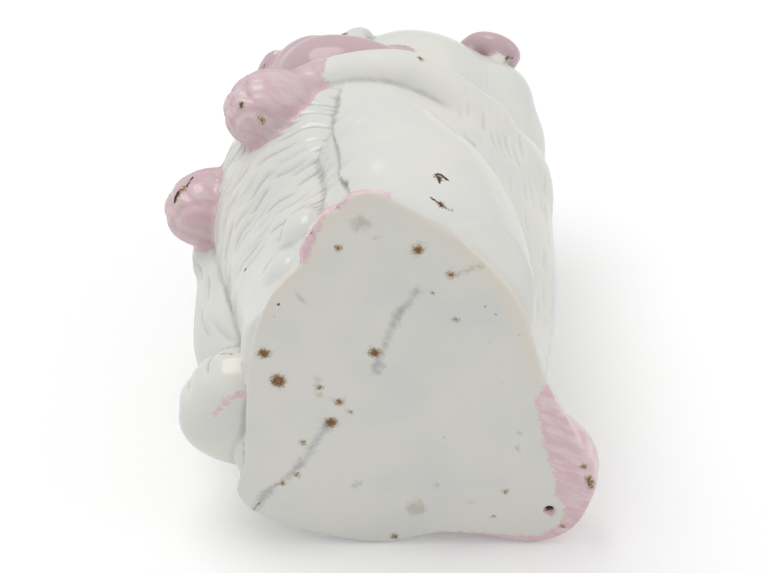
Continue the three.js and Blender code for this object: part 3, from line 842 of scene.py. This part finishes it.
def spot_field(points, spots):
    field = np.full(len(points), UNMARKED)
    for x, y, radius in spots:
        field = np.maximum(field, radius - np.linalg.norm(points - [x, y, 0], axis=1))
    return field


def blend_field(points, lines, field):
    for line, radius in lines:
        field = np.maximum(field, radius - line_gap(points, line, radius + 3))
    return field


def mirrored(line):
    return [(-x, y, z) for x, y, z in line]


lip_lines = [(laid(figure, line), LIP_HALF) for line in (PHILTRUM, MOUTH, mirrored(MOUTH))]


# The tail, the left foot's rim and, on the base, what their outlines enclose
def base_enamel(points, node):
    x, y, z = points.T
    low = z < 12
    flat = np.full(len(points), -BEYOND)
    for outline in (TAIL_ENAMEL, FOOT_ENAMEL):
        flat[low] = np.maximum(flat[low], inside_by(points[low, :2], closed_spline(outline, 1)))
    tail = np.minimum.reduce([
        TAIL_PINK_Z - z,
        y - TAIL_PINK_Y + 0.15 * z,
        TAIL_PINK_HALF - np.abs(x - TAIL_X) * 0.8,
        np.hypot(x, y - BODY_AXIS_Y) - BODY_RADIUS,
    ])
    if node != "tail":
        tail = np.where(z < PLATE + 0.1, tail, -BEYOND)
    foot = np.minimum.reduce([FOOT_PINK["z"] - z, x - FOOT_PINK["x"], FOOT_PINK["y"] - y])
    sides = np.where(z > 0.5, np.maximum(tail, foot), -BEYOND)
    return np.maximum(np.where(z < 1.2, flat, -BEYOND), sides)


# Muzzle and nose, kept off the forelegs and rounded towards the cheeks
def muzzle_enamel(points):
    x, y, z = points.T
    legs = np.full(len(points), BEYOND)
    for side in SIDES.values():
        leg = [np.array(place) * [side, 1, 1] for place in (SHOULDER, ELBOW, WRIST)] + [np.array(PAW[side])]
        legs = np.minimum(legs, line_gap(points, leg, BEYOND))
    above = np.maximum(z - MUZZLE_CHEEK[0], 0)
    muzzle = np.minimum.reduce([
        MUZZLE_REACH - line_gap(points, MUZZLE_PATH, 14.0) - 0.6 * above * smoothstep(-26, -11, y),
        z - np.where(np.abs(x) < 6, CHIN_PINK_Z, LIP_PINK_Z),
        MUZZLE_CHEEK[1] - y - 0.05 * above**2,
        legs - LEG_CLEAR,
    ])
    return np.maximum(muzzle, NOSE_PINK - np.linalg.norm(points - NOSE_AT, axis=1))


# Ears, up to where they come out of the skull
def ear_enamel(points):
    skull = np.full(len(points), BEYOND)
    for centre, size in ((SKULL_AT, SKULL_SIZE), (OCCIPUT_AT, OCCIPUT_SIZE)):
        away = np.linalg.norm((points - np.array(centre)) / (np.array(size) / 2), axis=1)
        skull = np.minimum(skull, (away - 1) * 17)
    return np.minimum(skull - 0.5, points[:, 2] - EAR_PINK_Z)


# Forepaws, as the bulb of the paw and a cuff over the wrist
def paw_enamel(points):
    field = np.full(len(points), -BEYOND)
    turn = np.array(Matrix.Rotation(math.radians(-PAW_DROOP), 3, "X"))
    for side in SIDES.values():
        paw = (points - np.array(PAW[side])) / (np.array(PAW_SIZE) / 2 + 0.6)
        bulb = (1.25 - np.linalg.norm(paw @ turn.T, axis=1)) * 6
        wrist = line_gap(points, [PAW[side], (side * WRIST[0], WRIST[1] - 1, WRIST[2])], BEYOND)
        cuff = np.minimum(WRIST_PINK_REACH - wrist, PAW_EDGE_Y - points[:, 1] + 0.1 * (points[:, 2] - 45))
        field = np.maximum.reduce([field, bulb, cuff])
    return field


def enamel_field(points, node):
    enamel = base_enamel(points, node)
    if "hind_foot" in node or node == "body":
        enamel = blend_field(points, [(FOOT_STROKE, FOOT_STROKE_HALF)], enamel)
    if "ear" in node:
        return np.maximum(enamel, ear_enamel(points))
    if "foreleg" in node:
        enamel = np.maximum(enamel, paw_enamel(points))
    return np.maximum(enamel, muzzle_enamel(points))


# Black irises rimmed with brown, nostrils, drawn lips, and painted shade in the mouth of the vent
def face_and_vent(points, black_and_vent_shade, rust):
    for side in SIDES.values():
        from_eye = points - [side * EYE_X, EYE_Y, EYE_Z]
        on_eye = np.abs(np.linalg.norm(from_eye, axis=1) - EYE_SIZE / 2) < 1
        glance = np.array(GLANCE) * [side, 1, 1] * EYE_SIZE / 2
        iris = np.where(on_eye, -np.linalg.norm(from_eye - glance, axis=1), -BEYOND)
        black_and_vent_shade = np.maximum(black_and_vent_shade, iris + IRIS_RADIUS)
        rust = np.maximum(rust, iris + IRIS_RADIUS + IRIS_RIM)
        nostril = np.linalg.norm(points - np.array(NOSTRIL) * [side, 1, 1], axis=1)
        black_and_vent_shade = np.maximum(black_and_vent_shade, NOSTRIL_RADIUS - nostril)
    # The vent's mouth is painted black as painted shade
    vent = VENT_SHADE - np.linalg.norm(points[:, :2] - VENT, axis=1)
    black_and_vent_shade = np.where(points[:, 2] < 3, np.maximum(black_and_vent_shade, vent), black_and_vent_shade)
    return blend_field(points, lip_lines, black_and_vent_shade), rust


def paint(piece, node):
    points = coords(piece)
    x, y, z = points.T
    ground = 1 - smoothstep(0.3, 1.4, z)
    low = z < 12
    rim = np.zeros(len(points))
    rim[low] = 1 - smoothstep(1, 4, inside_by(points[low, :2], base_line))
    black_and_vent_shade = blend_field(points, BLACK_LINES_AND_VENT_SHADE, np.full(len(points), UNMARKED))
    rust = blend_field(points, RUST_LINES, spot_field(points, RUST_SPOTS))
    black_and_vent_shade, rust = face_and_vent(points, black_and_vent_shade, rust)
    fields = {
        "enamel": enamel_field(points, node),
        "rust": rust,
        "olive": blend_field(points, OLIVE_LINES, spot_field(points, OLIVE_SPOTS)),
        "smoke": blend_field(points, SMOKE_LINES, np.full(len(points), UNMARKED)),
        "black_and_vent_shade": black_and_vent_shade,
        "ground": ground,
        "rim": rim * ground * smoothstep(-4, 10, x),
        # Pink enamel darkens with height here: painted shade on the upper paws and the muzzle
        "height": 0.7 * smoothstep(20, 50, z) + 0.5 * smoothstep(53, 60, z),
    }
    for name, field in fields.items():
        set_field(piece, name, field)


# Hollows of the skin, where the glaze pools greener and painted shade darkens the colour in creases
def hollows(piece, rounds):
    points, out = coords(piece), normals(piece)
    smooth = relax(points.copy(), skin_edges(piece), np.ones(len(points)), rounds)
    depth = ((smooth - points) * out).sum(1)
    set_field(piece, "hollow", depth)


hollows(figure, int(3 * fineness))


# Pieces, cut from the one skin where each was luted to its neighbour

# How far a blade stands out of the form that it cuts off, and its voxels
LUTING = 0.8
BLADE_GRAIN = 0.6


def cut_off(rest, name, forms, floor=None):
    if floor is not None:
        forms = [flatten_base(form, floor) for form in forms]
    blade = fuse(name + "_blade", forms, BLADE_GRAIN)
    apply_modifier(blade, "SMOOTH", factor=0.5, iterations=3)
    piece = copy_of(rest, name)
    apply_modifier(piece, "BOOLEAN", solver="MANIFOLD", operation="INTERSECT", object=blade)
    apply_modifier(rest, "BOOLEAN", solver="MANIFOLD", operation="DIFFERENCE", object=blade)
    bpy.data.objects.remove(blade)
    return piece


whole = copy_of(figure, "whole")
pieces = {}
for word, side in SIDES.items():
    pieces[word + "_ear"] = cut_off(figure, word + "_ear", ear_forms(side, LUTING))
    pieces[word + "_foreleg"] = cut_off(figure, word + "_foreleg", foreleg_forms(side, LUTING))
    foot = foot_forms(side, LUTING) + (inner_toe_forms(LUTING) if side > 0 else [])
    pieces[word + "_hind_foot"] = cut_off(figure, word + "_hind_foot", foot, PLATE)
pieces["tail"] = cut_off(figure, "tail", tail_forms(LUTING), PLATE)
for word, side in SIDES.items():
    pieces[word + "_haunch"] = cut_off(figure, word + "_haunch", haunch_forms(side, LUTING), PLATE)
pieces["head"] = cut_off(figure, "head", head_forms(LUTING))
pieces["body"] = figure

skin_tree = tree_of(coords(whole))
whole_hollow = np.empty(len(whole.data.vertices), dtype=np.float32)
whole.data.attributes["hollow"].data.foreach_get("value", whole_hollow)
bpy.data.objects.remove(whole)


# Each piece keeps the whole skin's hollows, for the pooled glaze and the painted shade in them, and an edge
# only where it was cut
def fit_skin(piece):
    found = [skin_tree.find(place) for place in coords(piece)]
    source = np.array([f[1] for f in found])
    fresh = np.array([f[2] for f in found]) > 1e-3
    set_field(piece, "hollow", whole_hollow[source])
    mesh = piece.data
    corner = np.empty(len(mesh.loops), dtype=np.int32)
    edge = np.empty(len(mesh.loops), dtype=np.int32)
    total = np.empty(len(mesh.polygons), dtype=np.int32)
    mesh.loops.foreach_get("vertex_index", corner)
    mesh.loops.foreach_get("edge_index", edge)
    mesh.polygons.foreach_get("loop_total", total)
    face = np.repeat(np.arange(len(total)), total)
    cut = np.bincount(face, fresh[corner], len(total)) == total
    touched = np.bincount(edge, cut[face], len(mesh.edges))
    mesh.polygons.foreach_set("use_smooth", np.ones(len(total), dtype=bool))
    mesh.edges.foreach_set("use_edge_sharp", touched == 1)
    mesh.update()


for node, piece in pieces.items():
    fit_skin(piece)
    paint(piece, node)


# Materials

def new_material(name):
    material = bpy.data.materials.new(name)
    material.use_nodes = True
    return material, material.node_tree.nodes, material.node_tree.links


# A small set of links between nodes, for patterns on the object's own coordinates
class Pattern:
    def __init__(self, material):
        self.nodes = material.node_tree.nodes
        self.links = material.node_tree.links
        self.place = self.nodes.new("ShaderNodeTexCoord").outputs["Object"]

    def noise(self, scale, detail=3, roughness=0.5, squeeze=None):
        node = self.nodes.new("ShaderNodeTexNoise")
        place = self.place
        if squeeze:
            mapping = self.nodes.new("ShaderNodeMapping")
            mapping.inputs["Scale"].default_value = squeeze
            self.links.new(place, mapping.inputs["Vector"])
            place = mapping.outputs["Vector"]
        node.inputs["Scale"].default_value = scale
        node.inputs["Detail"].default_value = detail
        node.inputs["Roughness"].default_value = roughness
        self.links.new(place, node.inputs["Vector"])
        return node.outputs["Fac"]

    # A mark's field, its edge broken up by noises given with what each takes off and adds
    def frayed(self, name, *noises):
        edge = self.field(name)
        for noise, low, high in noises:
            edge = self.math("ADD", edge, self.ramp(noise, 0.3, 0.7, low, high))
        return edge

    def field(self, name):
        node = self.nodes.new("ShaderNodeAttribute")
        node.attribute_name = name
        return node.outputs["Fac"]

    def math(self, operation, a, b=0.0):
        node = self.nodes.new("ShaderNodeMath")
        node.operation = operation
        for socket, value in zip(node.inputs, (a, b)):
            if isinstance(value, (int, float)):
                socket.default_value = value
            else:
                self.links.new(value, socket)
        return node.outputs["Value"]

    def ramp(self, value, low, high, to_low=0.0, to_high=1.0):
        node = self.nodes.new("ShaderNodeMapRange")
        node.interpolation_type = "SMOOTHSTEP"
        self.links.new(value, node.inputs["Value"])
        for key, number in (("From Min", low), ("From Max", high), ("To Min", to_low), ("To Max", to_high)):
            node.inputs[key].default_value = number
        return node.outputs["Result"]

    def mix(self, share, a, b):
        node = self.nodes.new("ShaderNodeMix")
        node.data_type = "RGBA"
        self.links.new(share, node.inputs["Factor"])
        for socket, value in ((node.inputs["A"], a), (node.inputs["B"], b)):
            if isinstance(value, tuple):
                socket.default_value = (*value, 1)
            else:
                self.links.new(value, socket)
        return node.outputs["Result"]


# Linear colours of the glaze, the enamel, the stains and the specks
WHITE_GLAZE = (0.75, 0.74, 0.685)
COOL_GLAZE = (0.71, 0.72, 0.69)
# Grey-green of glaze pooled in hollows, dark enough to be painted shade in the creases as well
POOLED_GLAZE_AND_SHADE = (0.40, 0.425, 0.385)
BASE_GLAZE = (0.75, 0.74, 0.69)
BASE_BEIGE = (0.78, 0.725, 0.63)
BASE_BLUE = (0.70, 0.71, 0.68)
PINK_LIGHT = (0.80, 0.64, 0.665)
PINK_DEEP = (0.745, 0.505, 0.555)
# Darker pink laid on the upper paws and muzzle as painted shade
PINK_SHADED = (0.54, 0.385, 0.42)
OLIVE = (0.40, 0.36, 0.25)
RUST_HALO = (0.40, 0.31, 0.18)
RUST_BROWN = (0.09, 0.045, 0.02)
RUST_ORANGE = (0.26, 0.12, 0.03)
SMOKE_GREY = (0.27, 0.29, 0.31)
# Black of the painted marks, also used as painted shade in the vent
BLACK_AND_VENT_SHADE = (0.02, 0.016, 0.014)

# Gloss of the fired glaze, and the slight ripple in it
GLAZE_ROUGHNESS = 0.16
GLAZE_IOR = 1.5
RIPPLE_STRENGTH = 0.3
RIPPLE_HEIGHT = 0.00012


# White glaze with pooled glaze and painted shade in its hollows, then stains, pink enamel darkened with
# height as painted shade, and black marks over it, with painted shade in the vent's mouth
def porcelain(name):
    material, nodes, links = new_material(name)
    shader = nodes["Principled BSDF"]
    shader.inputs["Roughness"].default_value = GLAZE_ROUGHNESS
    shader.inputs["IOR"].default_value = GLAZE_IOR
    pattern = Pattern(material)
    cloud = pattern.noise(70, 2)
    patch = pattern.noise(260, 3, 0.6)
    grain = pattern.noise(2600, 3, 0.7)
    fleck = pattern.noise(1000, 4, 0.7)
    brush = pattern.noise(170, 4, 0.6, (4, 1, 2))

    colour = pattern.mix(pattern.ramp(cloud, 0.38, 0.62), WHITE_GLAZE, COOL_GLAZE)
    base = pattern.mix(pattern.ramp(cloud, 0.42, 0.7), BASE_GLAZE, BASE_BLUE)
    base = pattern.mix(pattern.ramp(patch, 0.5, 0.72, 0, 0.35), base, BASE_BEIGE)
    base = pattern.mix(pattern.math("MULTIPLY", pattern.field("rim"), 0.8), base, BASE_BEIGE)
    colour = pattern.mix(pattern.field("ground"), colour, base)
    # Hollows take the pooled glaze's green and painted shade
    colour = pattern.mix(pattern.ramp(pattern.field("hollow"), 0.01, 0.24, 0, 0.75), colour, POOLED_GLAZE_AND_SHADE)

    smoke = pattern.frayed("smoke", (fleck, -0.5, 0.2), (patch, -0.5, 0.3))
    colour = pattern.mix(pattern.ramp(smoke, -1.1, 0.6, 0, 0.6), colour, SMOKE_GREY)
    olive = pattern.frayed("olive", (fleck, -0.9, 0.3))
    colour = pattern.mix(pattern.ramp(olive, -0.45, 1.2, 0, 0.5), colour, OLIVE)

    enamel = pattern.frayed("enamel", (fleck, -0.35, 0.35), (brush, -0.3, 0.3))
    pink = pattern.mix(pattern.ramp(brush, 0.38, 0.62), PINK_DEEP, PINK_LIGHT)
    pink = pattern.mix(pattern.ramp(enamel, 0.2, 1.4, 0.6, 0), pink, PINK_DEEP)
    # Pink darkened with height, as painted shade
    pink = pattern.mix(pattern.math("MULTIPLY", pattern.field("height"), 0.75), pink, PINK_SHADED)
    colour = pattern.mix(pattern.ramp(enamel, -0.1, 0.3, 0, 0.95), colour, pink)

    rust = pattern.frayed("rust", (grain, -0.35, 0.25))
    colour = pattern.mix(pattern.ramp(rust, -0.4, 0.1, 0, 0.8), colour, RUST_HALO)
    rusty = pattern.mix(pattern.ramp(grain, 0.4, 0.6), RUST_BROWN, RUST_ORANGE)
    colour = pattern.mix(pattern.ramp(rust, -0.05, 0.3), colour, rusty)
    # Black marks, and painted shade in the vent
    black_and_vent_shade = pattern.frayed("black_and_vent_shade", (grain, -0.1, 0.1))
    colour = pattern.mix(pattern.ramp(black_and_vent_shade, -0.1, 0.1), colour, BLACK_AND_VENT_SHADE)
    links.new(colour, shader.inputs["Base Color"])

    ripple = nodes.new("ShaderNodeBump")
    ripple.inputs["Strength"].default_value = RIPPLE_STRENGTH
    ripple.inputs["Distance"].default_value = RIPPLE_HEIGHT
    links.new(pattern.noise(420, 2), ripple.inputs["Height"])
    links.new(ripple.outputs["Normal"], shader.inputs["Normal"])
    return material


finishes = {slot: porcelain(slot) for slot in ("white_glaze", "pink_enamel")}


def finish_piece(piece, node):
    slot = "pink_enamel" if "ear" in node or node == "tail" else "white_glaze"
    piece.name = "glazed_" + node
    set_coords(piece, coords(piece) * MM)
    piece.data.materials.clear()
    piece.data.materials.append(finishes[slot])
    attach(piece, "root")
    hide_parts(node)


for node, piece in pieces.items():
    finish_piece(piece, node)


# Stage: the photograph's floor stands upright beside the figure, on its right flank

FLOOR_UP = Vector((0.875, -0.485, 0)).normalized()
FLOOR_GAP = 0.0003
TABLE_GAP = 0.0002
ROOM = 1.2

# Light that the floor adds for the camera alone, so that it shows as white paper
FLOOR_LIFT = 0.13


def stage_plane(name, centre, facing, size):
    bpy.ops.mesh.primitive_plane_add(size=size, location=(0, 0, 0))
    plane = bpy.context.object
    plane.name = name
    turn = facing.to_track_quat("Z", "Y").to_matrix().to_4x4()
    plane.data.transform(Matrix.Translation(centre) @ turn)
    return plane


# A matt surface that isn't seen from behind
def one_sided(name, grey):
    material, nodes, links = new_material(name)
    shader = nodes["Principled BSDF"]
    shader.inputs["Base Color"].default_value = (grey, grey, grey, 1)
    shader.inputs["Roughness"].default_value = 0.9
    shader.inputs["Specular IOR Level"].default_value = 0.1
    glow = nodes.new("ShaderNodeEmission")
    glow.inputs["Strength"].default_value = FLOOR_LIFT
    dark = nodes.new("ShaderNodeEmission")
    dark.inputs["Strength"].default_value = 0
    ray = nodes.new("ShaderNodeLightPath")
    camera_glow = nodes.new("ShaderNodeMixShader")
    links.new(ray.outputs["Is Camera Ray"], camera_glow.inputs["Fac"])
    links.new(dark.outputs["Emission"], camera_glow.inputs[1])
    links.new(glow.outputs["Emission"], camera_glow.inputs[2])
    front = nodes.new("ShaderNodeAddShader")
    links.new(shader.outputs["BSDF"], front.inputs[0])
    links.new(camera_glow.outputs["Shader"], front.inputs[1])
    clear = nodes.new("ShaderNodeBsdfTransparent")
    geometry = nodes.new("ShaderNodeNewGeometry")
    by_side = nodes.new("ShaderNodeMixShader")
    links.new(geometry.outputs["Backfacing"], by_side.inputs["Fac"])
    links.new(front.outputs["Shader"], by_side.inputs[1])
    links.new(clear.outputs["BSDF"], by_side.inputs[2])
    links.new(by_side.outputs["Shader"], nodes["Material Output"].inputs["Surface"])
    return material


outline = coords(figure)
lowest = min(float(np.dot(p, FLOOR_UP)) for p in outline[:: max(1, len(outline) // 20000)])
floor = stage_plane("floor", FLOOR_UP * (lowest - FLOOR_GAP), FLOOR_UP, ROOM)
floor.data.materials.append(one_sided("white_paper_floor", 0.93))

table = stage_plane("ground", Vector((0, 0, -TABLE_GAP)), Vector((0, 0, 1)), ROOM)
table.data.materials.append(one_sided("white_table", 0.9))
for hidden in ("visible_shadow", "visible_diffuse", "visible_glossy", "visible_transmission"):
    setattr(table, hidden, False)


# Camera, as it fits the base's outline in the photograph

CAMERA_AZIMUTH = math.radians(61)
CAMERA_ELEVATION = math.radians(-50)
CAMERA_DISTANCE = 420
CAMERA_TARGET = Vector((18, -18.5, 0))
CAMERA_SENSOR = 36
PHOTO_WIDTH = 763
SCALE_AT_TARGET = 0.148

back = Vector((
    math.sin(CAMERA_AZIMUTH) * math.cos(CAMERA_ELEVATION),
    -math.cos(CAMERA_AZIMUTH) * math.cos(CAMERA_ELEVATION),
    math.sin(CAMERA_ELEVATION),
))
right = Vector((math.cos(CAMERA_AZIMUTH), math.sin(CAMERA_AZIMUTH), 0))
up = back.cross(right)


# Light: a bright room, a key lamp over the floor and a weak one from the camera's right

WORLD_STRENGTH = 0.66
LAMP_DISTANCE = 0.5
LAMP_AIM = Vector((0, -5, 35)) * MM
LAMPS = {
    "key": (FLOOR_UP * 0.9 - right * 0.3 + Vector((0, 0, 0.15)), 0.34, 0.9),
    "fill": (right * 0.95 + FLOOR_UP * 0.25 - Vector((0, 0, 0.1)), 0.5, 0.42),
}

world = bpy.data.worlds.new("studio")
bpy.context.scene.world = world
world.use_nodes = True
world.node_tree.nodes["Background"].inputs["Color"].default_value = (1, 1, 1, 1)
world.node_tree.nodes["Background"].inputs["Strength"].default_value = WORLD_STRENGTH

for name, (direction, size, watts) in LAMPS.items():
    reach = direction.normalized() * LAMP_DISTANCE
    data = bpy.data.lights.new(name, "AREA")
    data.shape = "DISK"
    data.size = size
    data.energy = watts
    lamp = bpy.data.objects.new(name, data)
    bpy.context.collection.objects.link(lamp)
    lamp.location = LAMP_AIM + reach
    lamp.rotation_mode = "QUATERNION"
    lamp.rotation_quaternion = reach.to_track_quat("Z", "Y")

camera_data = bpy.data.cameras.new("camera")
camera_data.sensor_width = CAMERA_SENSOR
camera_data.lens = CAMERA_SENSOR * CAMERA_DISTANCE / SCALE_AT_TARGET / PHOTO_WIDTH
camera_data.clip_start = 0.01
camera_data.clip_end = 10
camera = bpy.data.objects.new("camera", camera_data)
bpy.context.collection.objects.link(camera)
camera.matrix_world = Matrix.Translation((CAMERA_TARGET + back * CAMERA_DISTANCE) * MM) @ Matrix(
    (right, up, back)
).transposed().to_4x4()
bpy.context.scene.camera = camera
bpy.context.scene.view_settings.view_transform = "Standard"
